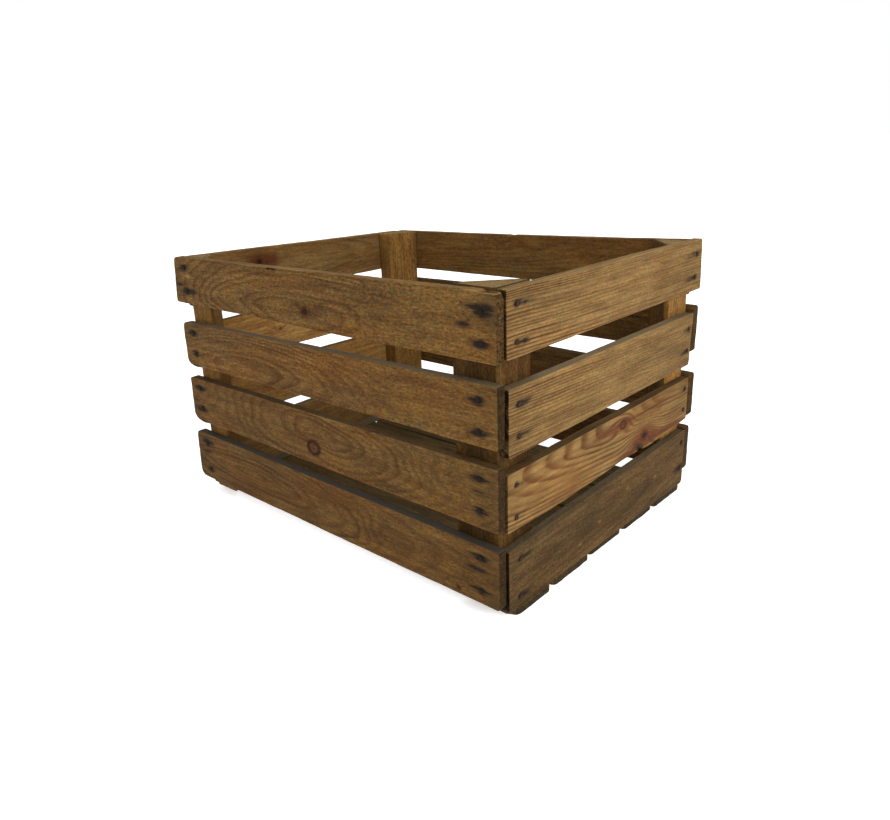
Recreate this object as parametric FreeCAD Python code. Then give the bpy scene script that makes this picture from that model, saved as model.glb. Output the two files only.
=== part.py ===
import FreeCAD, Part
import os

# Old nailed fruit crate. The frame: X runs along the long sides, Y along the short sides and Z up.
# The origin is on the ground under the middle of the crate. All lengths are in millimetres.
# The front is the long side at -Y, and the right end is the short side at +X.

# ---------------------------------------------------------------- driving dimensions

CRATE_LENGTH = 500.0          # between the planes that the long boards were sawn to, more or less
CRATE_WIDTH = 400.0           # over the outer faces of the long boards
BOARD_THICKNESS = 11.0        # all side boards
END_BOARD_PROUD = 1.5         # end boards stand this far past those planes
SLAT_THICKNESS = 8.0          # bottom slats, which the crate stands on

NAIL_LENGTH = 20.0
NAIL_SHANK_DIAMETER = 2.2
NAIL_HEAD_DIAMETER = 5.4
NAIL_HEAD_THICKNESS = 1.2
NAIL_HEAD_PROUD = 0.7         # how far a head stands out of a side board
SLAT_NAIL_SUNK = 0.4          # how far a head lies inside the underside of a slat

CORNER_RADIUS = 3.0           # worn corners of the boards, seen face on

# The crate was sawn and nailed by eye, so no two boards are level, square or equally wide. Each board has
# its own four corners, as places along it and across it: lower first, lower second, upper second and upper
# first. The first end is at -X or at -Y. Side boards are numbered from the top, and slats from the front.

FRONT_BOARDS = [
    ((-257.5, 260.0), (250.0, 259.5), (250.0, 323.3), (-250.0, 317.6)),
    ((-252.5, 180.0), (250.0, 181.0), (250.0, 241.8), (-251.0, 236.2)),
    ((-255.7, 104.5), (250.0, 98.8), (250.0, 164.2), (-253.2, 163.0)),
    ((-260.0, 22.0), (250.0, 16.2), (250.0, 80.3), (-257.3, 88.0)),
]
BACK_BOARDS = [
    ((-250.0, 250.0), (239.5, 252.5), (239.5, 320.3), (-250.0, 307.5)),
    ((-250.0, 180.0), (251.5, 183.5), (251.5, 241.7), (-250.0, 234.2)),
    ((-250.0, 99.0), (253.0, 100.5), (253.0, 156.5), (-250.0, 161.0)),
    ((-250.0, 20.0), (251.5, 22.5), (251.5, 85.0), (-250.0, 82.0)),
]
RIGHT_END_BOARDS = [
    ((-188.3, 261.2), (201.5, 260.5), (197.5, 321.5), (-188.3, 323.6)),
    ((-186.0, 169.0), (184.0, 168.8), (188.0, 234.2), (-186.0, 235.5)),
    ((-188.3, 92.5), (187.9, 92.5), (187.9, 152.9), (-188.3, 155.0)),
    ((-187.0, SLAT_THICKNESS), (188.5, SLAT_THICKNESS), (188.5, 82.2), (-187.0, 75.2)),
]
LEFT_END_BOARDS = [
    ((-188.0, 253.0), (188.0, 253.0), (188.0, 307.5), (-188.0, 316.5)),
    ((-187.0, 172.5), (188.0, 172.5), (188.0, 239.0), (-187.0, 227.5)),
    ((-187.5, 93.5), (187.0, 94.0), (187.0, 154.5), (-187.5, 155.0)),
    ((-187.8, SLAT_THICKNESS), (187.0, SLAT_THICKNESS), (187.0, 82.0), (-187.8, 80.0)),
]
SLATS = [
    ((-253.0, -161.0), (253.0, -180.0), (253.0, -115.0), (-253.0, -112.0)),
    ((-251.5, -109.5), (251.5, -109.5), (251.5, -40.0), (-251.5, -40.0)),
    ((-249.0, -33.0), (249.0, -33.0), (249.0, 36.0), (-249.0, 36.0)),
    ((-249.5, 41.5), (249.5, 41.5), (249.5, 110.5), (-249.5, 110.5)),
    ((-250.5, 116.5), (250.5, 116.5), (250.5, 187.0), (-250.5, 187.0)),
]

# The posts are three-cornered: a leg against the long boards, a leg against the end boards, the widths that
# the two sharp edges are sawn off to, and the height of the top.
CORNER_POSTS = {
    "front_right": (50.0, 52.0, 6.0, 6.0, 323.8),
    "front_left": (39.5, 38.0, 5.0, 5.0, 316.5),
    "back_right": (46.0, 48.0, 6.0, 6.0, 319.0),
    "back_left": (34.0, 48.0, 22.0, 4.0, 308.0),
}

# The nails of each board, as places along it and heights above its lower edge.
FRONT_NAILS = [
    [(-230.0, 16.5), (-230.0, 44.5), (233.0, 17.5), (233.0, 45.0)],
    [(-230.0, 16.5), (-230.0, 43.5), (228.0, 15.0), (228.0, 44.5)],
    [(-233.5, 18.5), (-233.5, 45.5), (227.5, 17.7), (227.5, 50.2)],
    [(-235.0, 15.2), (-235.0, 51.5), (227.5, 14.8), (227.5, 50.8)],
]
RIGHT_END_NAILS = [
    [(-173.0, 14.5), (-173.0, 48.0), (183.0, 16.5), (185.6, 43.5)],
    [(-170.0, 19.0), (-170.0, 49.5), (177.0, 19.7), (177.0, 46.7)],
    [(-174.5, 15.0), (-174.5, 48.5), (178.0, 19.5), (178.0, 47.0)],
    [(-167.5, 12.0), (-167.5, 53.0), (180.5, 24.5), (180.5, 59.0)],
]
HIDDEN_NAIL_INSET = 20.0      # back and left end boards: from the ends
HIDDEN_NAIL_EDGE = 15.0       # back and left end boards: from the lower and from the upper edge
SLAT_NAIL_EDGE = 11.0         # slats: from both long edges

# ---------------------------------------------------------------- derived planes

HALF_WIDTH = CRATE_WIDTH / 2
LONG_INNER_Y = HALF_WIDTH - BOARD_THICKNESS
END_OUTER_X = CRATE_LENGTH / 2 + END_BOARD_PROUD
END_INNER_X = END_OUTER_X - BOARD_THICKNESS

X_AXIS = FreeCAD.Vector(1, 0, 0)
Y_AXIS = FreeCAD.Vector(0, 1, 0)
Z_AXIS = FreeCAD.Vector(0, 0, 1)


def on_line(start, end, along):
    """Place across a board, on its edge from start to end, at a place along it."""
    share = (along - start[0]) / (end[0] - start[0])
    return start[1] + (end[1] - start[1]) * share


def edges_at(board, along):
    """Lower and upper edge of a board at a place along it."""
    lower_first, lower_second, upper_second, upper_first = board
    return on_line(lower_first, lower_second, along), on_line(upper_first, upper_second, along)


def rounded_board(corners, thickness_vector, edge_direction):
    """A flat board: the outline of corners, given a thickness, with its four corners rounded."""
    outline = Part.makePolygon(corners + [corners[0]])
    board = Part.Face(outline).extrude(thickness_vector)
    short_edges = []
    for edge in board.Edges:
        direction = edge.tangentAt(edge.FirstParameter)
        if abs(direction.dot(edge_direction)) > 0.999:
            short_edges.append(edge)
    return board.makeFillet(CORNER_RADIUS, short_edges)


def long_board(board, side):
    """A board of the front (side -1) or the back (side 1)."""
    corners = [FreeCAD.Vector(along, side * HALF_WIDTH, up) for along, up in board]
    return rounded_board(corners, Y_AXIS * (-side * BOARD_THICKNESS), Y_AXIS)


def end_board(board, side):
    """A board of the left end (side -1) or the right end (side 1)."""
    corners = [FreeCAD.Vector(side * END_OUTER_X, along, up) for along, up in board]
    return rounded_board(corners, X_AXIS * (-side * BOARD_THICKNESS), X_AXIS)


def bottom_slat(board):
    corners = [FreeCAD.Vector(along, across, 0) for along, across in board]
    return rounded_board(corners, Z_AXIS * SLAT_THICKNESS, Z_AXIS)


def corner_post(side_x, side_y, leg_x, leg_y, blunt_x, blunt_y, top):
    """A post with its right angle in the corner of the crate and its long face to the inside."""
    section = [(0, 0), (leg_x, 0), (leg_x, blunt_y), (blunt_x, leg_y), (0, leg_y)]
    corners = []
    for from_end, from_long in section:
        x = side_x * (END_INNER_X - from_end)
        y = side_y * (LONG_INNER_Y - from_long)
        corners.append(FreeCAD.Vector(x, y, SLAT_THICKNESS))
    outline = Part.makePolygon(corners + [corners[0]])
    return Part.Face(outline).extrude(Z_AXIS * (top - SLAT_THICKNESS))


def nail(head_top, direction):
    """A round-headed wire nail that starts at head_top and is driven along direction."""
    head = Part.makeCylinder(NAIL_HEAD_DIAMETER / 2, NAIL_HEAD_THICKNESS, head_top, direction)
    shank = Part.makeCylinder(NAIL_SHANK_DIAMETER / 2, NAIL_LENGTH, head_top, direction)
    return head.fuse(shank).removeSplitter()


def even_places(board):
    """Nail places of a board of the back or the left end: two near each end."""
    places = []
    for along in (board[0][0] + HIDDEN_NAIL_INSET, board[1][0] - HIDDEN_NAIL_INSET):
        low, high = edges_at(board, along)
        places.append((along, HIDDEN_NAIL_EDGE))
        places.append((along, high - low - HIDDEN_NAIL_EDGE))
    return places


def long_board_nails(board, side, places):
    nails = []
    for along, height in places:
        low, _ = edges_at(board, along)
        head_top = FreeCAD.Vector(along, side * (HALF_WIDTH + NAIL_HEAD_PROUD), low + height)
        nails.append(nail(head_top, Y_AXIS * -side))
    return nails


def end_board_nails(board, side, places):
    nails = []
    for along, height in places:
        low, _ = edges_at(board, along)
        head_top = FreeCAD.Vector(side * (END_OUTER_X + NAIL_HEAD_PROUD), along, low + height)
        nails.append(nail(head_top, X_AXIS * -side))
    return nails


def slat_nails(board):
    """Nails up through a slat into the lower edge of the end boards."""
    nails = []
    for side in (-1, 1):
        x = side * (END_INNER_X + BOARD_THICKNESS / 2)
        low, high = edges_at(board, x)
        for y in (low + SLAT_NAIL_EDGE, high - SLAT_NAIL_EDGE):
            nails.append(nail(FreeCAD.Vector(x, y, SLAT_NAIL_SUNK), Z_AXIS))
    return nails


# ---------------------------------------------------------------- the pieces

wood = {}
nail_groups = {"front_nails": [], "back_nails": [], "right_end_nails": [], "left_end_nails": [],
               "bottom_nails": []}

for number, (board, places) in enumerate(zip(FRONT_BOARDS, FRONT_NAILS), start=1):
    wood[f"front_board_{number}"] = long_board(board, -1)
    nail_groups["front_nails"] += long_board_nails(board, -1, places)

for number, board in enumerate(BACK_BOARDS, start=1):
    wood[f"back_board_{number}"] = long_board(board, 1)
    nail_groups["back_nails"] += long_board_nails(board, 1, even_places(board))

for number, (board, places) in enumerate(zip(RIGHT_END_BOARDS, RIGHT_END_NAILS), start=1):
    wood[f"right_end_board_{number}"] = end_board(board, 1)
    nail_groups["right_end_nails"] += end_board_nails(board, 1, places)

for number, board in enumerate(LEFT_END_BOARDS, start=1):
    wood[f"left_end_board_{number}"] = end_board(board, -1)
    nail_groups["left_end_nails"] += end_board_nails(board, -1, even_places(board))

for corner, sizes in CORNER_POSTS.items():
    side_x = 1 if corner.endswith("right") else -1
    side_y = 1 if corner.startswith("back") else -1
    wood[f"corner_post_{corner}"] = corner_post(side_x, side_y, *sizes)

for number, board in enumerate(SLATS, start=1):
    wood[f"bottom_slat_{number}"] = bottom_slat(board)
    nail_groups["bottom_nails"] += slat_nails(board)

# Every nail sits in its own hole, so that no two solids share any space.
all_nails = [one for group in nail_groups.values() for one in group]
for name, piece in wood.items():
    for one in all_nails:
        if piece.BoundBox.intersect(one.BoundBox):
            piece = piece.cut(one)
    wood[name] = piece

# ---------------------------------------------------------------- export

os.makedirs("parts", exist_ok=True)
for name, piece in wood.items():
    if len(piece.Solids) != 1 or not piece.isValid():
        raise ValueError(f"{name} is not one valid solid")
    piece.Solids[0].exportStep(f"parts/{name}.step")
for name, nails in nail_groups.items():
    Part.makeCompound(nails).exportStep(f"parts/{name}.step")
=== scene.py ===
import itertools
import math
from dataclasses import dataclass
from functools import partial

import bpy
import numpy as np
from mathutils import Matrix, Vector, geometry


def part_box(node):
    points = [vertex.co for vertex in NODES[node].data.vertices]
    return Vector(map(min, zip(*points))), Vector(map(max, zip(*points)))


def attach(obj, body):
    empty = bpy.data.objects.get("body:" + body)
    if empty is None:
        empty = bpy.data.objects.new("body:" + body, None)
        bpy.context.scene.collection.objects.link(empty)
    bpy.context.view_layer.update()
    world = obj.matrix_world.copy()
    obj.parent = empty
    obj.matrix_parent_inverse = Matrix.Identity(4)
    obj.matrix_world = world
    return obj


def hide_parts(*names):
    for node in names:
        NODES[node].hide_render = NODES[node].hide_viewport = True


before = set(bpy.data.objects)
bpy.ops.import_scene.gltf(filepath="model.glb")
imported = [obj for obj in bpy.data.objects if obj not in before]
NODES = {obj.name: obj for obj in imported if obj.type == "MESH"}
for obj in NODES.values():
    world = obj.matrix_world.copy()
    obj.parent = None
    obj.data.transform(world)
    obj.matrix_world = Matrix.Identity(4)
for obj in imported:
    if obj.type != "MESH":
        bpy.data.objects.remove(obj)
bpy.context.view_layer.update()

MM = 0.001
X, Y, Z = 0, 1, 2


# ---- soft noise

def cell_random(cells, seed):
    """A repeatable number from 0 to 1 for every whole-number cell."""
    mixed = np.full(cells.shape[:-1], seed * 7919 + 104729, dtype=np.uint64)
    for axis in range(cells.shape[-1]):
        part = cells[..., axis].astype(np.int64).astype(np.uint64)
        mixed = (mixed ^ part) * np.uint64(0x9E3779B97F4A7C15)
        mixed ^= mixed >> np.uint64(31)
    return (mixed >> np.uint64(40)).astype(float) / 2.0 ** 24


def noise(points, size, seed):
    """Soft noise from -1 to 1 at points, changing over a distance of size along each axis."""
    scaled = np.asarray(points) / np.asarray(size)
    base = np.floor(scaled)
    part = scaled - base
    part = part * part * (3 - 2 * part)
    total = np.zeros(len(scaled))
    for corner in itertools.product((0, 1), repeat=scaled.shape[1]):
        near = np.asarray(corner)
        weight = np.prod(np.where(near == 1, part, 1 - part), axis=1)
        total += weight * cell_random(base + near, seed)
    return total * 2 - 1


def wave(places, size, seed):
    """Soft noise from -1 to 1 along a line."""
    return noise(np.asarray(places)[:, None], size, seed)


def bell(offsets, *widths):
    """1 at no offset, falling to 0 over the widths."""
    total = sum((np.asarray(o) / w) ** 2 for o, w in zip(offsets, widths))
    return np.exp(-total)


def ramp(values, start, end):
    """0 at start and 1 at end, with soft ends. Start may be above end."""
    share = np.clip((values - start) / (end - start), 0, 1)
    return share * share * (3 - 2 * share)


# ---- what each board looks like
# Places are in millimetres: along as in the crate's own frame, and up from the board's lower edge.

@dataclass
class Knot:
    along: float
    up: float
    size: float
    swirl: float = 2.5        # how many growth rings the grain is pushed aside
    dark: float = 1.0
    halo: float = 0.5         # how reddish the wood round the knot is
    hollow: bool = False      # a dark rim with paler wood inside it


@dataclass
class Bite:
    """Wood missing from an edge."""
    along: float
    edge: str                 # "low" or "high"
    length: float
    depth: float
    grime: float = 0.0


@dataclass
class Split:
    """A crack along the grain."""
    start: float
    end: float
    up: float
    depth: float = 3.0
    wander: float = 1.5
    face: str = "outer"       # "outer", "both" or "top"


@dataclass
class Mark:
    """A spot or streak on the outer face."""
    along: float
    up: float
    length: float = 10.0
    height: float = 4.0
    strength: float = 0.7


@dataclass
class Timber:
    pith_up: float = 20.0     # where the middle of the tree was, up from the lower edge
    pith_deep: float = 45.0   # and behind the outer face
    rise: float = 10.0        # how far the middle moves up over the length
    sink: float = 20.0        # and how far it moves away from the outer face
    ring: float = 3.0         # width of a growth ring
    lines: tuple = ((0, 0.7),)   # how strongly the rings show, at places along
    tone: float = 0.0         # lighter or darker than its neighbours
    # Tone of the inner face: partly the wood's own, partly painted light and shade inside the crate.
    inner_tone: float = -0.25
    warmth: float = 0.3
    fuzz: float = 0.6         # felt of torn fibres
    wander: float = 1.0       # how far the rings stray from straight
    top_grime: float = 0.8
    top_soot: float = 0.0     # blue-black dirt on the upper edge
    top_dust: float = 0.0     # grey dust on the upper edge
    end_grime: float = 0.15
    shades: tuple = ((0, 0),)      # lighter or darker stretches, at places along
    crevices: tuple = (0.0, 0.0)   # painted shade: how black the start and the end are, for the shadow in the gaps where other boards meet them
    top_pale: float = 0.0     # bare wood on the upper edge
    end_grain: float = 1.0    # how dark the end grain is
    face_grime: float = 0.1
    foot_dust: float = 0.0    # grey dust on the lowest part of the inner face
    corners: tuple = (3.0, 3.0, 3.0, 3.0)   # start low, end low, end high, start high
    low_cut: tuple = ((0, 0),)     # places along, and wood cut off the lower edge there
    high_cut: tuple = ((0, 0),)    # and off the upper edge
    halo_size: tuple = (4.6, 3.8)  # length and height of the dark iron stain close round each nail
    halo_dark: float = 1.0
    smear: tuple = (13.0, 3.9, 1.3, 1.0)   # and of a ragged one: length, height, strength, shift inwards
    knots: tuple = ()
    bites: tuple = ()
    splits: tuple = ()
    stains: tuple = ()   # old iron stains with no nail in them
    resins: tuple = ()   # reddish streaks along the grain
    chips: tuple = ()    # pale places where the surface is gone


back_timber = partial(Timber, inner_tone=-0.12, end_grain=1.8)
right_timber = partial(Timber, wander=0.5, corners=(2, 3, 3, 2), halo_size=(3.8, 3.2), halo_dark=1.1)
left_timber = partial(Timber, end_grain=1.5)
slat_timber = partial(Timber, tone=-0.1, inner_tone=0, face_grime=0.45, end_grain=1.8)

TIMBERS = {
    "front_board_1": Timber(
        pith_up=18, pith_deep=1, rise=6, sink=120, ring=5.4,
        lines=((-250, 1.1), (-60, 0.8), (60, 0.9), (140, 0.3), (250, 0.3)),
        fuzz=1.1, warmth=0.35, top_grime=0, top_pale=0.45, corners=(4, 3, 8, 6), end_grime=0.35,
        end_grain=1.45, low_cut=((-250, 0), (-80, 0.2), (60, -1.2), (150, -0.3), (250, 0.2)),
        knots=[Knot(-2, 18, 5.2, 1.6, 1.15, 0.25)],
        bites=[Bite(238, "high", 26, 1.4)],
        splits=[Split(230, 247, 59.5, 2, 0.8, "top")],
        stains=[Mark(-243, 25.5, 9, 3, 1.2), Mark(-218, 17, 14, 3.4, 0.9), Mark(213, 31, 9, 3.4, 1),
                Mark(239, 46, 9, 5, 1), Mark(222, 47, 12, 2.6, 0.9), Mark(6, 19, 2, 6, 0.5)],
        chips=[Mark(-224, 37, 4.5, 2.4, 0.8), Mark(222, 61.5, 6, 1.8, 0.9), Mark(-110, 33, 4, 1.2, 0.4)],
        resins=[Mark(-150, 37, 50, 0.8, 0.6), Mark(-195, 31, 40, 0.8, 0.6), Mark(-12, 17, 9, 1.2, 0.35),
                Mark(46, 30, 14, 20, 0.22), Mark(20, 40, 20, 8, 0.12)],
    ),
    "front_board_2": Timber(
        pith_up=16, pith_deep=24, rise=6, sink=100, ring=5,
        lines=((-250, 0.7), (-60, 1.2), (0, 1), (120, 0.5), (250, 0.4)),
        fuzz=1, warmth=0.35, corners=(8, 3, 3, 7), end_grime=0.3, end_grain=2.1, top_dust=0.6,
        low_cut=((-252, 2), (-243, 0.5), (-239, -2.6), (-228, -3.4), (-223, 0), (0, 0.4), (250, 0)),
        knots=[Knot(134.7, 48.5, 5.5, 1, 0.3, 0.2, True)],
        stains=[Mark(-234, -1, 8, 3, 1.4), Mark(-222, 55, 12, 2, 0.8), Mark(122, 38, 4, 2, 0.7)],
        chips=[Mark(-170, 20, 5, 0.8, 0.4)],
    ),
    "front_board_3": Timber(
        pith_up=36, pith_deep=3, rise=-6, sink=160, ring=6,
        lines=((-250, 0.6), (-60, 1), (60, 1), (250, 0.5)),
        tone=-0.1, fuzz=0.9, warmth=0.5, corners=(9, 3, 3, 4), end_grime=0.3, end_grain=1.9,
        low_cut=((-254, 3), (-244, 0.5), (-240, -2.4), (-229, -2.6), (-224, 0), (250, 0)),
        knots=[Knot(-9.4, 20.5, 7.8, 1.6, 1.25, 0.2, True), Knot(-8, 20, 3, 0, 0.75, 0)],
        stains=[Mark(-245, 29, 8, 2.4, 0.9), Mark(-236, 17, 10, 4, 0.9), Mark(228, 35, 13, 4, 1),
                Mark(-234, 0, 8, 2.6, 1.2), Mark(-22, 26, 8, 1.4, 0.7), Mark(-13, 30, 3, 2.5, 0.5)],
    ),
    "front_board_4": Timber(
        pith_up=30, pith_deep=26, rise=-10, sink=90, ring=5.6, lines=((-250, 1.1), (0, 1), (250, 0.6)),
        fuzz=0.8, warmth=0.35, corners=(10, 4, 3, 6), face_grime=0.2, end_grime=0.4, top_soot=0.9,
        tone=-0.2, end_grain=1.9,
        knots=[Knot(93.5, 29, 6, 1.6, 0.35, 0.3, True), Knot(199, 7.5, 3.2, 1, 1, 0.3),
               Knot(30, 58, 4, 2, 0.3, 0.1)],
        stains=[Mark(-238, 40, 14, 2.8, 1.1), Mark(224, 38, 15, 4, 1.2), Mark(-236, 57, 12, 3, 0.9)],
        resins=[Mark(-100, 48, 45, 0.9, 1), Mark(-40, 44, 30, 6, 0.3)],
    ),
    "back_board_1": back_timber(
        pith_up=52, pith_deep=38, ring=4.6, fuzz=0.7, inner_tone=0.1, warmth=0.4, top_grime=0.1,
        high_cut=((-250, 0.2), (-100, 1.2), (150, 1.2), (240, 0)),
        splits=[Split(-66, -24, 50, 3.5, 7, "both")], bites=[Bite(-25, "high", 12, 1.8)],
    ),
    "back_board_2": back_timber(pith_up=12, pith_deep=30, rise=24, ring=4.4),
    "back_board_3": back_timber(pith_up=40, pith_deep=24, sink=34, ring=4.4,
                                knots=[Knot(88, 22, 5.5, 2.5, 0.8, 0.5)]),
    "back_board_4": back_timber(pith_up=34, pith_deep=52, sink=-20, ring=4.2, corners=(5, 8, 4, 4)),
    "right_end_board_1": right_timber(
        pith_up=-30, pith_deep=34, rise=8, sink=10,
        lines=((-190, 2), (-80, 1.5), (-10, 0.8), (60, 0.6), (110, 0.9), (200, 0.8)),
        shades=((-190, 0), (0, -0.04), (100, -0.14), (200, -0.16)),
        fuzz=0.5, warmth=-0.15, top_grime=0, top_pale=0.5,
        crevices=(0.55, 0.7), smear=(15, 3.6, 0.9, 11),
        stains=[Mark(-108, 55, 5, 2.5, 0.6), Mark(-158, 55, 5, 1.5, 0.3), Mark(-60, 24, 40, 2, 0.14)],
    ),
    "right_end_board_2": right_timber(
        pith_up=-42, pith_deep=40, rise=-10, sink=10, ring=2.8,
        lines=((-190, 1.6), (-90, 1.3), (0, 0.7), (200, 0.7)),
        shades=((-190, -0.03), (0, 0.02), (100, -0.16), (200, -0.2)),
        fuzz=0.55, warmth=-0.1, top_grime=0.3, top_dust=0.7,
        crevices=(0.8, 0.5), smear=(14, 3.8, 0.95, 10),
        stains=[Mark(-140, 60, 16, 2, 0.5), Mark(-60, 57, 20, 1.4, 0.3)],
    ),
    "right_end_board_3": right_timber(
        pith_up=58, pith_deep=25, rise=0, sink=-52, ring=4.4,
        lines=((-190, 1.6), (0, 1.7), (90, 1.3), (190, 1)),
        shades=((-190, 0), (60, 0), (120, -0.16), (200, -0.2)), tone=0.03, fuzz=0.22, warmth=0.2,
        crevices=(0.4, 0.5), halo_size=(3.4, 3), halo_dark=0.9, smear=(10, 3.2, 0.6, 8),
        low_cut=((-188, 1.8), (-100, 0), (-20, 1), (25, 3), (60, 2), (85, 0), (150, 1.8), (185, 5)),
        knots=[Knot(23.4, 47, 5, 2.6, 1.1, 0.9, True), Knot(74.7, 18, 7, 3.8, 0.95, 1)],
        resins=[Mark(-16, 46, 26, 3.2, 1.1), Mark(85, 48, 60, 1.7, 1.1), Mark(80, 12, 22, 6, 1.5),
                Mark(140, 9, 40, 4, 1.2), Mark(30, 7, 26, 2.8, 0.9)],
        stains=[Mark(60, 8, 6, 4.5, 1.1), Mark(80, 18, 7, 3, 0.5)],
        bites=[Bite(66, "low", 13, 4.5, 2.4)],
    ),
    "right_end_board_4": right_timber(
        pith_up=38, pith_deep=44, ring=3.6, lines=((-190, 0.6), (190, 0.5)), wander=1,
        tone=-0.58, fuzz=0.9, warmth=0.5, top_grime=0.4, top_dust=0.5, face_grime=0.12,
        corners=(3, 5, 3, 2), crevices=(0.7, 0.6), halo_size=(4.2, 3.6), smear=(13, 3.8, 0.9, 8),
        stains=[Mark(62, 27, 6, 2.5, 0.5), Mark(-110, 14, 20, 5, 0.25)],
        chips=[Mark(-120, 58, 26, 1, 0.35), Mark(-70, 62, 20, 0.8, 0.3), Mark(-20, 30, 2.4, 0.9, 0.8),
               Mark(40, 48, 2.4, 0.9, 0.7), Mark(110, 36, 3, 0.9, 0.7), Mark(-60, 20, 2.4, 0.9, 0.7)],
    ),
    "left_end_board_1": left_timber(
        pith_up=36, pith_deep=30, sink=30, ring=4.4, fuzz=0.5, inner_tone=-0.2, warmth=0.6, top_grime=0.15,
        knots=[Knot(-82, 41, 6.5, 2, 1, 0.8), Knot(-70, 40, 5, 1, 0.6, 0.7)],
    ),
    # Painted light: the bright orange inner faces of the second and third left boards, lit through the gaps,
    # come from a high inner tone and warmth.
    "left_end_board_2": left_timber(pith_up=-20, pith_deep=40, ring=4, inner_tone=0.7, warmth=1,
                                    knots=[Knot(-60, 28, 3.5, 2, 0.6, 0.3)]),
    "left_end_board_3": left_timber(pith_up=20, pith_deep=22, sink=30, ring=4.4, inner_tone=0.5, warmth=1.2,
                                    knots=[Knot(-84, 30, 5, 2.5, 0.8, 0.8)]),
    "left_end_board_4": left_timber(pith_up=60, pith_deep=45, ring=4, inner_tone=0.15, warmth=0.4,
                                    face_grime=0.3, foot_dust=1),
    "bottom_slat_1": slat_timber(pith_up=60, pith_deep=40, ring=4.4, corners=(14, 9, 7, 5),
                                 bites=[Bite(250, "low", 16, 4)],
                                 low_cut=((-253, 16), (-236, 8), (-214, 0), (250, 0))),
    "bottom_slat_2": slat_timber(pith_up=20, pith_deep=26, sink=40, ring=4.2, corners=(4, 6, 5, 4),
                                 knots=[Knot(120, 30, 5)]),
    "bottom_slat_3": slat_timber(pith_up=-10, pith_deep=35, ring=4, face_grime=0.4, corners=(5, 5, 6, 4)),
    "bottom_slat_4": slat_timber(pith_up=40, pith_deep=30, sink=-30, ring=4.4, tone=-0.15,
                                 corners=(4, 6, 5, 5), knots=[Knot(-70, 44, 6)]),
    "bottom_slat_5": slat_timber(pith_up=80, pith_deep=50, ring=4.1, face_grime=0.4, corners=(6, 5, 8, 6)),
}


# ---- reading the frame

def node_points(name):
    mesh = NODES[name].data
    points = np.empty(len(mesh.vertices) * 3, np.float32)
    mesh.vertices.foreach_get("co", points)
    return points.reshape(-1, 3).astype(float)


def outer_spots(name, through, outward):
    """Middles of the nail heads of a nail node, on the plane of their tops."""
    points = node_points(name)
    height = points[:, through] * outward
    heads = points[height > height.max() - 0.1 * MM]
    groups = []
    for point in heads:
        for group in groups:
            if np.linalg.norm(group[0] - point) < 8 * MM:
                group.append(point)
                break
        else:
            groups.append([point])
    return [(np.min(group, axis=0) + np.max(group, axis=0)) / 2 for group in groups]


def meeting_point(first, second):
    """Where the lines through two sides of an outline cross."""
    (a, b), (c, d) = first, second
    turn = np.column_stack([b - a, c - d])
    return a + (b - a) * np.linalg.solve(turn, c - a)[0]


def four_corners(points):
    """The sharp corners of a board with rounded ones, seen face on: start low, end low, end high, start
    high."""
    order = geometry.convex_hull_2d(points.tolist())
    outline = points[order]
    following = np.roll(outline, -1, axis=0)
    lengths = np.linalg.norm(following - outline, axis=1)
    longest = sorted(np.argsort(lengths)[-4:])
    sides = [(outline[index], following[index]) for index in longest]
    corners = [meeting_point(sides[index - 1], sides[index]) for index in range(4)]
    middle = np.mean(corners, axis=0)
    signs = [(-1, -1), (1, -1), (1, 1), (-1, 1)]
    return [max(corners, key=lambda corner: np.sum(np.sign(corner - middle) * sign)) for sign in signs]


@dataclass
class Board:
    """Where a flat board lies. Its own axes are along, across from its lower edge, and inward from its
    outer face."""
    name: str
    along: int
    across: int
    through: int
    outward: int

    def __post_init__(self):
        low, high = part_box(self.name)
        self.thickness = high[self.through] - low[self.through]
        self.outer = high[self.through] if self.outward > 0 else low[self.through]
        flat = node_points(self.name)[:, [self.along, self.across]]
        self.corners = four_corners(flat)
        start_low, end_low, end_high, start_high = self.corners
        self.length = (end_low[0] - start_low[0] + end_high[0] - start_high[0]) / 2
        self.width = (start_high[1] - start_low[1] + end_high[1] - end_low[1]) / 2
        self.start = (start_low[0] + start_high[0]) / 2

    def place(self, along):
        """Distance from the board's start of a place in the crate's frame, in millimetres."""
        return along * MM - self.start

    def on_face(self, u, v):
        """Places along and across in the crate's frame, for distances u along and v up the board."""
        share_u = (u / self.length)[:, None]
        share_v = (v / self.width)[:, None]
        start_low, end_low, end_high, start_high = self.corners
        low = start_low + (end_low - start_low) * share_u
        high = start_high + (end_high - start_high) * share_u
        return low + (high - low) * share_v

    def to_world(self, local):
        world = np.empty_like(local)
        flat = self.on_face(local[:, 0], local[:, 1])
        world[:, self.along] = flat[:, 0]
        world[:, self.across] = flat[:, 1]
        world[:, self.through] = self.outer - self.outward * local[:, 2]
        return world

    def to_local(self, point):
        target = np.array([point[self.along], point[self.across]])
        u = np.array([target[0] - self.start])
        v = np.array([self.width / 2])
        for _ in range(6):
            miss = target - self.on_face(u, v)[0]
            u = u + miss[0]
            v = v + miss[1]
        return np.array([u[0], v[0], self.outward * (self.outer - point[self.through])])

    def is_mirrored(self):
        axes = np.zeros((3, 3))
        axes[0, self.along] = 1
        axes[1, self.across] = 1
        axes[2, self.through] = -self.outward
        return np.linalg.det(axes) < 0


# ---- board meshes

END_LINES = np.array([0, 0.35, 0.9, 1.7, 2.8, 4.2]) * MM
THIN_LINES = np.array([0, 0.35, 0.9, 1.7]) * MM
CELL_ALONG = 2.4 * MM
CELL_ACROSS = 1.9 * MM
CELL_THROUGH = 2.2 * MM
ARRIS = 0.75 * MM
NO_KNOT = 4.0   # distance from a knot, in knot radii, at which it no longer shows
SOFTENING_SHIFTS = (-9, -3, 3, 9)   # millimetres

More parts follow.
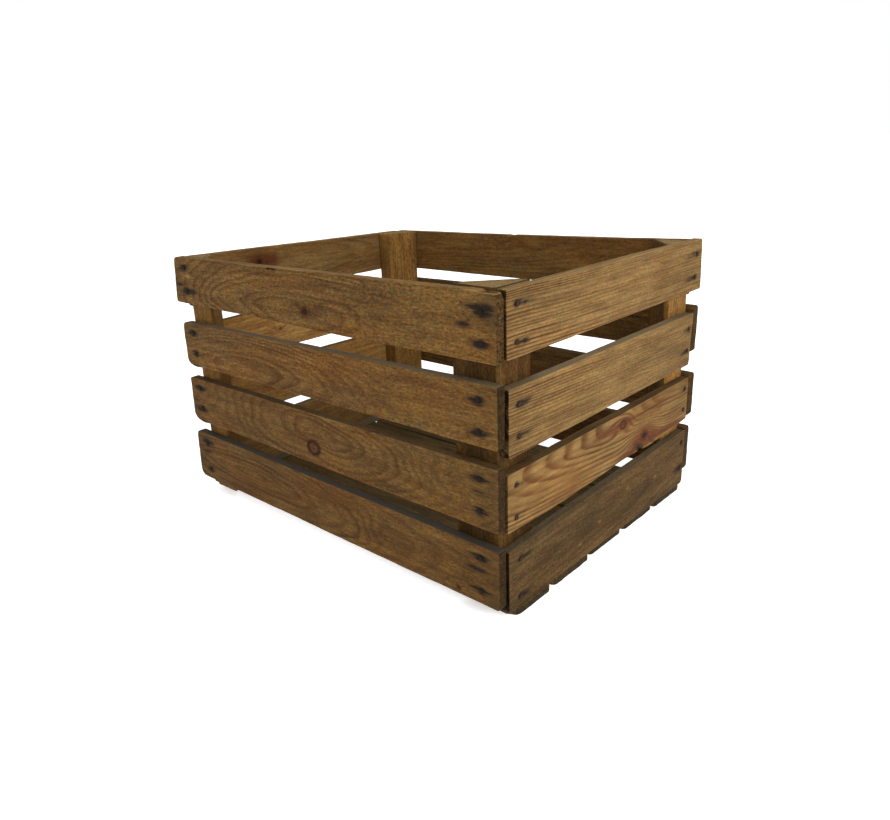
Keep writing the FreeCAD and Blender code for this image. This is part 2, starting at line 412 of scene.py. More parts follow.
# The vector attributes of the wooden pieces, which carry three levels each.
PACKED_LEVELS = {
    # The grime level holds dirt and painted shade, and the end grain level holds the end grain's own
    # darkness and painted shade in the gaps where boards meet.
    "marks": ("stain", "grime", "wear"),
    "tones": ("tone", "warmth", "lines"),
    "felt": ("fuzz", "red", "end_grain"),
    "dust": ("dust", "soot", "chips"),
}


def lattice_lines(length, cell, ends, extra=()):
    """Places of lattice lines over a length, closer together at both ends and round the extra places."""
    count = max(2, round((length - 2 * ends[-1]) / cell))
    middle = np.linspace(ends[-1], length - ends[-1], count + 1)
    for place in extra:
        cluster = place + np.array([-0.9, -0.35, 0, 0.35, 0.9]) * MM
        middle = middle[abs(middle - place) > 1.5 * MM]
        middle = np.sort(np.concatenate([middle, cluster]))
    return np.concatenate([ends[:-1], middle, length - ends[-2::-1]])


def grid_quads(grid, flip):
    quads = np.stack([grid[:-1, :-1], grid[1:, :-1], grid[1:, 1:], grid[:-1, 1:]], axis=-1).reshape(-1, 4)
    return quads[:, ::-1] if flip else quads


def block_skin(lines):
    """Surface points of a block with these lattice lines on its three axes, and its outward quads."""
    counts = [len(line) for line in lines]
    places = np.indices(counts)
    on_skin = np.zeros(counts, bool)
    for axis, count in enumerate(counts):
        on_skin |= (places[axis] == 0) | (places[axis] == count - 1)
    index = np.full(counts, -1)
    index[on_skin] = np.arange(on_skin.sum())
    points = np.stack([lines[axis][places[axis][on_skin]] for axis in range(3)], axis=1)
    quads = [
        grid_quads(index[0], True), grid_quads(index[-1], False),
        grid_quads(index[:, 0], False), grid_quads(index[:, -1], True),
        grid_quads(index[:, :, 0], True), grid_quads(index[:, :, -1], False),
    ]
    return points, np.concatenate(quads)


def round_off(points, size, radius):
    """Rounds the edges of a block, or the corners of a rectangle. Returns the new points and their outward
    directions."""
    half = size / 2
    limit = half - radius[:, None]
    centred = points - half
    core = np.clip(centred, -limit, limit)
    away = centred - core
    reach = np.abs(away).max(axis=1, keepdims=True)
    outward = away / np.maximum(np.linalg.norm(away, axis=1, keepdims=True), 1e-12)
    return core + outward * reach + half, outward


def round_corners(points, size, radii):
    """Rounds the four corners of a board seen face on. radii: start low, end low, end high, start high."""
    start_low, end_low, end_high, start_high = radii
    at_end, is_high = (points[:, :2] > size[:2] / 2).T
    radius = np.where(is_high, np.where(at_end, end_high, start_high), np.where(at_end, end_low, start_low))
    rounded = points.copy()
    rounded[:, :2] = round_off(points[:, :2], size[:2], radius)[0]
    return rounded


def ring_field(points, length, timber, seed):
    """Number of growth rings out from the middle of the tree."""
    share = points[:, 0] / length - 0.5
    stray = timber.wander
    middle_up = (timber.pith_up + timber.rise * share) * MM
    middle_up += stray * 4 * MM * wave(points[:, 0], 0.15, seed)
    middle_deep = (timber.pith_deep + timber.sink * share) * MM
    middle_deep += stray * 3 * MM * wave(points[:, 0], 0.2, seed + 1)
    distance = np.hypot(points[:, 1] - middle_up, points[:, 2] - middle_deep)
    rings = distance / (timber.ring * MM)
    rings += stray * 0.7 * noise(points, (0.11, 0.02, 0.02), seed + 2)
    rings += stray * 0.25 * noise(points, (0.035, 0.009, 0.009), seed + 3)
    rings += 0.7 * wave(rings, 3.3, seed + 4)
    return rings


def knot_marks(points, board, timber):
    """For every point: rings added by the knots, distance from the nearest knot in knot radii, more for a
    pale knot, and reddish halo."""
    swirl = np.zeros(len(points))
    nearest = np.full(len(points), NO_KNOT)
    halo = np.zeros(len(points))
    for knot in timber.knots:
        du = points[:, 0] - board.place(knot.along)
        dv = points[:, 1] - knot.up * MM
        size = knot.size * MM
        swirl += knot.swirl * bell((du, dv), 5.0 * size, 2.2 * size)
        distance = np.hypot(du / 1.25, dv) / size
        if knot.hollow:
            within = np.minimum(1 - distance, 0.45) * 1.8
            distance = 0.4 + np.where(distance < 1, within, (distance - 1) * 3)
        nearest = np.minimum(nearest, distance + (1 - knot.dark) * 1.2)
        halo += knot.halo * bell((du, dv), 4.5 * size, 2.0 * size)
    return swirl, nearest, halo


def add_attribute(mesh, name, values):
    is_vector = values.ndim == 2
    attribute = mesh.attributes.new(name, "FLOAT_VECTOR" if is_vector else "FLOAT", "POINT")
    attribute.data.foreach_set("vector" if is_vector else "value", values.astype(np.float32).ravel())


def add_object(name, data):
    new_object = bpy.data.objects.new(name, data)
    bpy.context.scene.collection.objects.link(new_object)
    return new_object


def make_mesh(name, points, faces, attributes=()):
    mesh = bpy.data.meshes.new(name)
    mesh.from_pydata(points.tolist(), [], faces)
    for attribute_name, values in attributes:
        add_attribute(mesh, attribute_name, values)
    mesh.polygons.foreach_set("use_smooth", np.ones(len(mesh.polygons), bool))
    mesh.update()
    return add_object(name, mesh)


def wood_attributes(grain, rings, knot, **levels):
    """The mesh attributes that aged_pine reads. A level left out is 0."""
    nothing = np.zeros(len(grain))
    attributes = [("grain", grain), ("rings", rings), ("knot", knot + nothing)]
    for name, parts in PACKED_LEVELS.items():
        attributes.append((name, np.stack([levels.get(part, 0) + nothing for part in parts], axis=1)))
    return attributes


def smooth_line(places, stops):
    """Values along a line that passes softly through stops of place and value."""
    at, values = np.transpose(stops)
    total = np.zeros(len(places))
    for shift in SOFTENING_SHIFTS:
        total += np.interp(places + shift, at, values)
    return total / len(SOFTENING_SHIFTS)


def spread(points, board, marks):
    """Spots and streaks of these marks, added up."""
    total = np.zeros(len(points))
    for mark in marks:
        offsets = (points[:, 0] - board.place(mark.along), points[:, 1] - mark.up * MM)
        total += mark.strength * bell(offsets, mark.length * MM, mark.height * MM)
    return total


def board_block(board, timber, seed):
    """Points, quads and outward directions of a board with worn arrises and rounded corners."""
    split_rows = sorted({split.up * MM for split in timber.splits})
    points, quads = block_skin([
        lattice_lines(board.length, CELL_ALONG, END_LINES),
        lattice_lines(board.width, CELL_ACROSS, END_LINES, split_rows),
        lattice_lines(board.thickness, CELL_THROUGH, THIN_LINES),
    ])
    size = np.array([board.length, board.width, board.thickness])
    radius = ARRIS * (1 + 0.55 * noise(points, (0.05, 0.012, 0.012), seed + 5))
    radius += ARRIS * 1.2 * np.clip(noise(points, (0.09, 0.03, 0.03), seed + 6) - 0.25, 0, 1)
    points, outward = round_off(points, size, np.minimum(radius, THIN_LINES[-1]))
    points = round_corners(points, size, [corner * MM for corner in timber.corners])
    return points, quads[:, ::-1] if board.is_mirrored() else quads, outward


def wear_edges(points, board, timber, along, seed):
    """Cuts the long edges, which the saw left a little wavy and wear has bitten into. Returns how much
    the bites are darkened."""
    u, v, w = points.T.copy()
    grime = np.zeros(len(u))
    low_edge = ("low", v, 1, timber.low_cut, 0.09, 0.014, seed + 7)
    high_edge = ("high", board.width - v, -1, timber.high_cut, 0.10, 0.013, seed + 9)
    for edge, depth, inward, stops, coarse, fine, edge_seed in (low_edge, high_edge):
        cut = 0.2 * MM * (1 + wave(u, coarse, edge_seed)) + 0.1 * MM * (1 + wave(u, fine, edge_seed + 1))
        cut = (cut + smooth_line(along, stops) * MM) * ramp(depth, board.width / 2, 0)
        for number, bite in enumerate(timber.bites):
            if bite.edge == edge:
                reach = abs(u - board.place(bite.along)) / (bite.length * MM / 2)
                rough = 1 + 0.5 * wave(u, 0.004, seed + 20 + number)
                rough *= 0.75 + 0.25 * wave(w, 0.006, seed + 30 + number)
                cut += bite.depth * MM * ramp(reach, 1, 0.35) * rough * ramp(depth, 14 * MM, 0)
                grime += bite.grime * ramp(reach, 1.3, 0.8) * ramp(abs(depth), 9 * MM, 3 * MM)
        points[:, 1] += inward * cut
    return grime


def nail_marks(points, board, timber, nails, seed):
    """Dents round the nails, and iron stains on the outer and the inner face."""
    dents, outer, inner = np.zeros((3, len(points)))
    length, height, strength, shift = timber.smear
    halo_length, halo_height = timber.halo_size
    for number, spot in enumerate(nails):
        du, dv = points[:, 0] - spot[0], points[:, 1] - spot[1]
        dents += 0.55 * MM * bell((du, dv), 5 * MM, 3.6 * MM)
        chance = wave(np.arange(4) + 0.5, 1, seed + 40 + number)
        inward = 1 if spot[0] < board.length / 2 else -1
        smear_offsets = (du - inward * (shift + 3 * chance[1]) * MM, dv + chance[2] * MM)
        smear = bell(smear_offsets, (length + 3 * chance[0]) * MM, height * MM)
        ragged = 1 + 0.6 * noise(points[:, :2], (0.007, 0.0028), seed + 44 + number)
        outer += strength * smear * ragged
        outer += timber.halo_dark * bell((du, dv), halo_length * MM, halo_height * MM)
        inner += 0.45 * bell((du, dv), 12 * MM, 3 * MM)
    return dents, outer, inner


def open_cracks(points, board, timber, open_faces, seed):
    """Bends the points along the cracks, and returns the depth of the grooves and where the cracks are."""
    groove, crack = np.zeros((2, len(points)))
    u = points[:, 0]
    for number, split in enumerate(timber.splits):
        start, end = board.place(split.start), board.place(split.end)
        inside = ramp(u, start - 4 * MM, start + 6 * MM) * ramp(u, end + 4 * MM, end - 2 * MM)
        open_here = inside * np.clip(open_faces[split.face], 0, 1)
        offset = abs(points[:, 1] - split.up * MM)
        bend = split.wander * MM * wave(u, 0.016, seed + 50 + number)
        points[:, 1] += ramp(offset, 6 * MM, 0) * inside * bend
        groove += ramp(offset, 0.5 * MM, 0) * open_here * split.depth * MM
        crack = np.maximum(crack, ramp(offset, 1.0 * MM, 0) * open_here)
    return groove, crack


def build_board(board, timber, nails, seed):
    """The worn, cracked and stained board that stands for a CAD board."""
    points, quads, outward = board_block(board, timber, seed)
    along = (points[:, 0] + board.start) / MM
    end_grain = np.abs(outward[:, 0])
    outer_face = ramp(-outward[:, 2], 0.4, 0.8)
    inner_face = ramp(outward[:, 2], 0.4, 0.8)
    top_face = ramp(outward[:, 1], 0.45, 0.85)
    bottom_face = ramp(-outward[:, 1], 0.45, 0.85)

    # Shallow relief: rough faces, dents round the nails and cracks along the grain. It only cuts inward.
    grime = wear_edges(points, board, timber, along, seed)
    relief = 0.12 * MM * (1 + noise(points, (0.06, 0.012, 0.012), seed + 11))
    relief += 0.09 * MM * (1 + noise(points, (0.02, 0.004, 0.004), seed + 12))
    relief += end_grain * 0.15 * MM * (1 + noise(points, (0.004, 0.004, 0.004), seed + 13))
    dents, outer_stain, inner_stain = nail_marks(points, board, timber, nails, seed)
    outer_stain += spread(points, board, timber.stains)
    open_faces = {
        "outer": outer_face + end_grain,
        "both": outer_face + inner_face + end_grain,
        "top": outer_face + end_grain + ramp(outward[:, 1], 0.3, 0.6),
    }
    groove, crack = open_cracks(points, board, timber, open_faces, seed)
    points -= outward * (relief + outer_face * dents + groove)[:, None]

    patch = noise(points, (0.07, 0.02, 0.02), seed + 14)
    from_start = points[:, 0]
    from_end = board.length - from_start
    near_end = ramp(np.minimum(from_start, from_end), 32 * MM, 6 * MM)
    grime += timber.top_grime * top_face * (0.85 + 0.25 * patch)
    grime += timber.end_grime * outer_face * near_end * (0.8 + 0.5 * patch)
    # Painted shade: the undersides are darkened with the grime colour.
    grime += 0.5 * bottom_face + 0.3 * ramp(end_grain, 0.5, 0.9)
    grime += timber.face_grime * (0.6 + 0.6 * patch) * (outer_face + inner_face)

    arris = 1 - np.abs(outward).max(axis=1)
    wear = ramp(arris, 0.04, 0.24) * ramp(noise(points, (0.03, 0.01, 0.01), seed + 15), -0.5, 0.5)
    wear *= 1 - 0.75 * np.clip(timber.top_grime * ramp(outward[:, 1], 0.1, 0.5), 0, 1)
    wear *= 1 - 0.8 * ramp(end_grain, 0.15, 0.5)
    wear += timber.top_pale * top_face * (0.8 + 0.4 * patch)

    # The inner faces take the inner tone, which is partly the wood's own and partly painted light and shade
    # inside the crate.
    tone = timber.tone + (timber.inner_tone - timber.tone) * inner_face
    tone += outer_face * smooth_line(along, timber.shades)
    tone += 0.10 * noise(points, (0.12, 0.03, 0.03), seed + 16)

    # Painted shade: the start and the end are blackened where other boards meet them, for the shadow in
    # those gaps. It rides on the end grain level.
    at_start, at_end = timber.crevices
    black = at_start * ramp(from_start, 0.7 * MM, 0.2 * MM) + at_end * ramp(from_end, 0.7 * MM, 0.2 * MM)
    foot = ramp(points[:, 1], 14 * MM, 9 * MM)
    swirl, knot, halo = knot_marks(points, board, timber)
    attributes = wood_attributes(
        points + np.array([1.37, 0.71, 0.43]) * seed % 7,
        ring_field(points, board.length, timber, seed + 60) + swirl,
        knot,
        stain=outer_face * outer_stain + inner_face * inner_stain,
        # Painted shade: the cracks are darkened with the grime colour, since the grooves are too thin to
        # shade themselves.
        grime=np.maximum(grime, crack),
        wear=wear,
        tone=tone,
        warmth=timber.warmth + 0.3 * noise(points, (0.10, 0.025, 0.025), seed + 17),
        lines=smooth_line(along, timber.lines),
        fuzz=timber.fuzz * (1 + 0.8 * end_grain),
        red=halo + spread(points, board, timber.resins),
        end_grain=timber.end_grain * end_grain + 2.6 * black,
        dust=timber.top_dust * top_face + timber.foot_dust * inner_face * foot,
        soot=timber.top_soot * top_face,
        chips=outer_face * spread(points, board, timber.chips),
    )
    return make_mesh(f"aged_{board.name}", board.to_world(points), quads.tolist(), attributes)


# ---- post meshes

POST_ARRIS = 0.9 * MM
POST_CELL = 2.6 * MM
CAP_SHARES = (0.93, 0.8, 0.62, 0.42, 0.2)   # sizes of the rings across a post's ends
SAW_PITCH = 3.1 * MM


def post_corners(name):
    """The corners of a post's section, in order round it, with their middle."""
    points = node_points(name)
    low = points[points[:, Z] < points[:, Z].min() + 0.1 * MM][:, :2]
    corners = []
    for point in low:
        if all(np.linalg.norm(point - other) > 1 * MM for other in corners):
            corners.append(point)
    corners = np.array(corners)
    middle = corners.mean(axis=0)
    turn = np.arctan2(corners[:, 1] - middle[1], corners[:, 0] - middle[0])
    return corners[np.argsort(turn)], middle


def rounded_outline(corners, radius, step):
    """Points round a polygon with rounded corners, and their outward directions."""
    points, outward = [], []
    for index, here in enumerate(corners):
        next_here = corners[(index + 1) % len(corners)]
        back = corners[index - 1] - here
        ahead = next_here - here
        back_length, ahead_length = np.linalg.norm(back), np.linalg.norm(ahead)
        back, ahead = back / back_length, ahead / ahead_length
        half_angle = math.acos(np.clip(back @ ahead, -1, 1)) / 2
        cut = min(radius / math.tan(half_angle), 0.4 * back_length, 0.4 * ahead_length)
        true_radius = cut * math.tan(half_angle)
        centre = here + (back + ahead) / np.linalg.norm(back + ahead) * true_radius / math.sin(half_angle)
        start = here + back * cut - centre
        end = here + ahead * cut - centre
        for share in np.linspace(0, 1, 5):
            spoke = start * (1 - share) + end * share
            spoke = spoke / np.linalg.norm(spoke)
            points.append(centre + spoke * true_radius)
            outward.append(spoke)
        straight_start = here + ahead * cut
        run = np.linalg.norm(next_here - straight_start) - min(radius, 0.4 * ahead_length)
        side = np.array([ahead[1], -ahead[0]])
        for place in np.arange(step, run - step * 0.4, step):
            points.append(straight_start + ahead * place)
            outward.append(side)
    return np.array(points), np.array(outward)


def post_skin(outline, outward, middle, levels):
    """Points and outward directions of a post: rings up its sides, then rings across both ends."""
    around = len(outline)
    points, normals = [], []
    for level in levels:
        pull = 0.96 * MM * (ramp(level, 1.7 * MM, 0) + ramp(levels[-1] - level, 1.7 * MM, 0))
        points.append(np.column_stack([outline - outward * pull, np.full(around, level)]))
        normals.append(np.column_stack([outward, np.zeros(around)]))
    for level, up in ((levels[-1], 1), (0.0, -1)):
        for share in CAP_SHARES:
            ring = middle + (outline - outward * 1.0 * MM - middle) * share
            points.append(np.column_stack([ring, np.full(around, level)]))
            normals.append(np.tile([0.0, 0.0, up], (around, 1)))
        points.append(np.array([[*middle, level]]))
        normals.append(np.array([[0.0, 0.0, up]]))
    return np.concatenate(points), np.concatenate(normals)


def band_faces(first, second, around):
    """Quads between two rings of points, each given by the number of its first point."""
    faces = []
    for side in range(around):
        following = (side + 1) % around
        faces.append([first + side, first + following, second + following, second + side])
    return faces


def post_faces(level_count, around):
    """Faces between the rings of post_skin, with a fan round the middle of each end."""
    faces = []
    for level in range(level_count - 1):
        faces += band_faces(level * around, (level + 1) * around, around)
    cap = level_count * around
    for last_ring, is_top in (((level_count - 1) * around, True), (0, False)):
        for _ in CAP_SHARES:
            first, second = (last_ring, cap) if is_top else (cap, last_ring)
            faces += band_faces(first, second, around)
            last_ring = cap
            cap += around
        for side in range(around):
            pair = [last_ring + side, last_ring + (side + 1) % around]
            faces.append([*(pair if is_top else pair[::-1]), cap])
        cap += 1
    return faces


# How light each post is on the face against the end boards, the one against the long boards and the inner
# one: partly the wood's own tone, partly painted light and shade by how much light reaches each face.
POST_TONES_AND_PAINTED_LIGHT = {
    "front_right": (-0.6, -0.66, -0.6),
    "front_left": (-0.1, 0.0, 0.0),
    "back_right": (0.45, -0.1, -0.5),
    "back_left": (0.2, 0.2, 0.22),
}


def build_post(name, seed, face_tones_and_light):
    """A rough-sawn three-cornered post."""
    corners, middle = post_corners(name)
    low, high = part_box(name)
    outline, outward = rounded_outline(corners, POST_ARRIS, POST_CELL)
    levels = lattice_lines(high[Z] - low[Z], POST_CELL, END_LINES)
    points, normals = post_skin(outline, outward, middle, levels)

    local = np.column_stack([points[:, 2], points[:, 0] - middle[0], points[:, 1] - middle[1]])
    saw = np.sin((local[:, 0] + 0.25 * (local[:, 1] + local[:, 2])) / SAW_PITCH * 2 * math.pi)
    relief = 0.2 * MM * (1 + noise(local, (0.08, 0.015, 0.015), seed + 1))
    relief += 0.12 * MM * (1 + saw) * ramp(noise(local, (0.05, 0.02, 0.02), seed + 2), -0.4, 0.6)
    relief += 0.1 * MM * (1 + noise(local, (0.012, 0.003, 0.003), seed + 3))
    end_grain = np.abs(normals[:, 2])
    relief += end_grain * 0.3 * MM * (1 + noise(local, (0.004, 0.004, 0.004), seed + 4))
    points -= normals * relief[:, None]
    points[:, 2] += low[Z]

    rings = np.hypot(local[:, 1] - 0.03, local[:, 2] + 0.02 + 0.02 * local[:, 0]) / (2.8 * MM)
    rings += 0.8 * noise(local, (0.10, 0.02, 0.02), seed + 5)
    patch = noise(local, (0.05, 0.015, 0.015), seed + 6)
    on_end = ramp(np.abs(normals[:, 0]), 0.85, 0.98)
    on_long = ramp(np.abs(normals[:, 1]), 0.85, 0.98)
    inside = np.clip(1 - on_end - on_long - end_grain, 0, 1)
    # Painted light and shade: each face of the post is lightened or darkened by its own tone.
    tone = on_end * face_tones_and_light[0] + on_long * face_tones_and_light[1] + inside * face_tones_and_light[2]
    tone += 0.16 * noise(local, (0.09, 0.02, 0.02), seed + 7)
    attributes = wood_attributes(
        local + seed * 0.31, rings, NO_KNOT, grime=0.15 + 0.25 * patch,
        wear=0.75 * ramp(normals[:, 2], 0.2, 0.8), tone=tone, warmth=0.3 + 0.3 * patch, lines=0.45,
        fuzz=1.0, end_grain=0.3 * end_grain,
    )
    return make_mesh(f"aged_{name}", points, post_faces(len(levels), len(outline)), attributes)


# ---- nails

HEAD_RADIUS = 2.7 * MM
HEAD_THICKNESS = 1.2 * MM
SHANK_RADIUS = 1.1 * MM
NAIL_SIDES = 24
# Section of a nail head from its middle to the shank: shares of the head's radius and of its thickness.
HEAD_SECTION = (
    (0.35, 0.00), (0.62, 0.03), (0.82, 0.12), (0.95, 0.28), (1.00, 0.50), (0.98, 0.78), (0.88, 1.00),
)
# Section of the shank down to its point: shares of the shank's radius and of the nail's length.
SHANK_SECTION = ((1.0, 0.3), (1.0, 0.6), (1.0, 0.88), (0.4, 0.97))


def nail_rings(spot, through, outward, profile, rim, lean):
    """Rings of points down a nail, with an uneven head that leans a little."""
    turns = np.arange(NAIL_SIDES) / NAIL_SIDES * 2 * math.pi
    across = [axis for axis in (X, Y, Z) if axis != through]
    rings = []
    for radius, depth in profile:
        is_head = depth < HEAD_THICKNESS * 1.01
        radii = radius * rim if is_head else radius
        a = np.cos(turns) * radii
        b = np.sin(turns) * radii
        tilt = a * lean[0] + b * lean[1] + HEAD_RADIUS * np.abs(lean).sum() * 0.5
        ring = np.zeros((NAIL_SIDES, 3))
        ring[:, across[0]] = spot[across[0]] + a
        ring[:, across[1]] = spot[across[1]] + b
        ring[:, through] = spot[through] - outward * (depth + np.maximum(tilt, 0) * is_head)
        rings.append(ring)
    return rings


def nail_faces(base, ring_count, flip):
    """Faces of the nail whose top is point number base: a fan, bands between the rings, and a fan."""
    faces = []
    last = base + 1 + (ring_count - 1) * NAIL_SIDES
    tip = last + NAIL_SIDES
    for side in range(NAIL_SIDES):
        following = (side + 1) % NAIL_SIDES
        faces.append([base, base + 1 + side, base + 1 + following])
        for first in range(base + 1, last, NAIL_SIDES):
            second = first + NAIL_SIDES
            faces.append([first + side, second + side, second + following, first + following])
        faces.append([last + side, tip, last + following])
    return [face[::-1] for face in faces] if flip else faces


def build_nails(node, spots, through, outward, seed):
    """Rusty wire nails, one at each spot, in one mesh."""
    depths = node_points(node)[:, through] * outward
    length = depths.max() - depths.min()
    profile = [(radius * HEAD_RADIUS, depth * HEAD_THICKNESS) for radius, depth in HEAD_SECTION]
    profile.append((SHANK_RADIUS, HEAD_THICKNESS))
    profile += [(radius * SHANK_RADIUS, depth * length) for radius, depth in SHANK_SECTION]
    flip = (outward < 0) ^ (through == Y)
    points, faces = [], []
    for number, spot in enumerate(spots):
        rim = 1 - 0.05 * (1 + wave(np.arange(NAIL_SIDES) / NAIL_SIDES * 6 * math.pi, 1.7, seed + number))
        lean = 0.06 * noise(np.array([[number * 1.7, 0.3], [number * 1.7, 5.3]]), 1, seed + 90)
        top = np.array(spot, float)
        top[through] -= outward * (0.02 * MM + HEAD_RADIUS * np.abs(lean).sum() * 0.5)
        tip = np.array(spot, float)
        tip[through] -= outward * length
        faces += nail_faces(sum(len(block) for block in points), len(profile), flip)
        points += [top[None], *nail_rings(spot, through, outward, profile, rim, lean), tip[None]]
    return make_mesh(f"rusty_{node}", np.concatenate(points), faces)


# ---- materials

def srgb(red, green, blue):
    """A colour as seen on a screen, 0 to 255, as the linear values that shaders take."""
    linear = []
    for value in (red, green, blue):
        share = value / 255
        linear.append(share / 12.92 if share <= 0.04045 else ((share + 0.055) / 1.055) ** 2.4)
    return (*linear, 1.0)


class Shader:
    """Adds and links the nodes of one material."""

    def __init__(self, name):
        self.material = bpy.data.materials.new(name)
        self.material.use_nodes = True
        self.tree = self.material.node_tree
        self.principled = self.tree.nodes["Principled BSDF"]

    def add(self, kind, inputs=None, **settings):
        node = self.tree.nodes.new(kind)
        for key, value in settings.items():
            setattr(node, key, value)
        for key, value in (inputs or {}).items():
            self.put(node.inputs[key], value)
        return node

    def put(self, socket, value):
        if isinstance(value, bpy.types.NodeSocket):
            self.tree.links.new(value, socket)
        else:
            socket.default_value = value

    def attribute(self, name):
        return self.add("ShaderNodeAttribute", attribute_name=name)

    def parts(self, name):
        """The three numbers of a vector attribute."""
        return self.add("ShaderNodeSeparateXYZ", {0: self.attribute(name).outputs["Vector"]}).outputs

    def math(self, operation, a, b=0.0, c=0.0, clamp=False):
        node = self.add("ShaderNodeMath", {0: a, 1: b, 2: c}, operation=operation, use_clamp=clamp)
        return node.outputs[0]

    def plus(self, a, b, clamp=False):
        return self.math("ADD", a, b, clamp=clamp)

    def times(self, a, b, clamp=False):
        return self.math("MULTIPLY", a, b, clamp=clamp)

    def stretch(self, vector, scale):
        node = self.add("ShaderNodeVectorMath", {0: vector, 1: scale}, operation="MULTIPLY")
        return node.outputs[0]

    def noise(self, vector, scale, detail=3.0, roughness=0.55, distortion=0.0):
        inputs = {"Vector": self.stretch(vector, scale), "Scale": 1.0, "Detail": detail,
                  "Roughness": roughness, "Distortion": distortion}
        return self.add("ShaderNodeTexNoise", inputs).outputs["Fac"]

    def steps(self, value, from_low, from_high, to_low=0.0, to_high=1.0):
        inputs = {"Value": value, "From Min": from_low, "From Max": from_high, "To Min": to_low,
                  "To Max": to_high}
        return self.add("ShaderNodeMapRange", inputs, interpolation_type="SMOOTHSTEP").outputs["Result"]

    def mix(self, share, a, b, blend="MIX"):
        node = self.add("ShaderNodeMix", {"Factor": share}, data_type="RGBA", blend_type=blend)
        self.put(node.inputs[6], a)
        self.put(node.inputs[7], b)
        return node.outputs[2]

    def scaled(self, colour, factor):
        grey = self.add("ShaderNodeCombineColor", {0: factor, 1: factor, 2: factor}).outputs[0]
        return self.mix(1.0, colour, grey, "MULTIPLY")

    def cover(self, colour, coat, value, low, high, most):
        """Lays a coat over a colour where a value goes from low to high, up to a share of most."""
        return self.mix(self.times(self.steps(value, low, high), most), colour, coat)

    def bump(self, height, strength, distance):
        node = self.add("ShaderNodeBump", {"Height": height, "Strength": strength, "Distance": distance})
        self.put(self.principled.inputs["Normal"], node.outputs["Normal"])

    def curve(self, value, stops):
        node = self.add("ShaderNodeValToRGB", {"Fac": value})
        points = node.color_ramp.elements
        for number, (place, shade) in enumerate(stops):
            point = points[number] if number < 2 else points.new(place)
            point.position = place
            point.color = (shade, shade, shade, 1)
        return node.outputs["Color"]


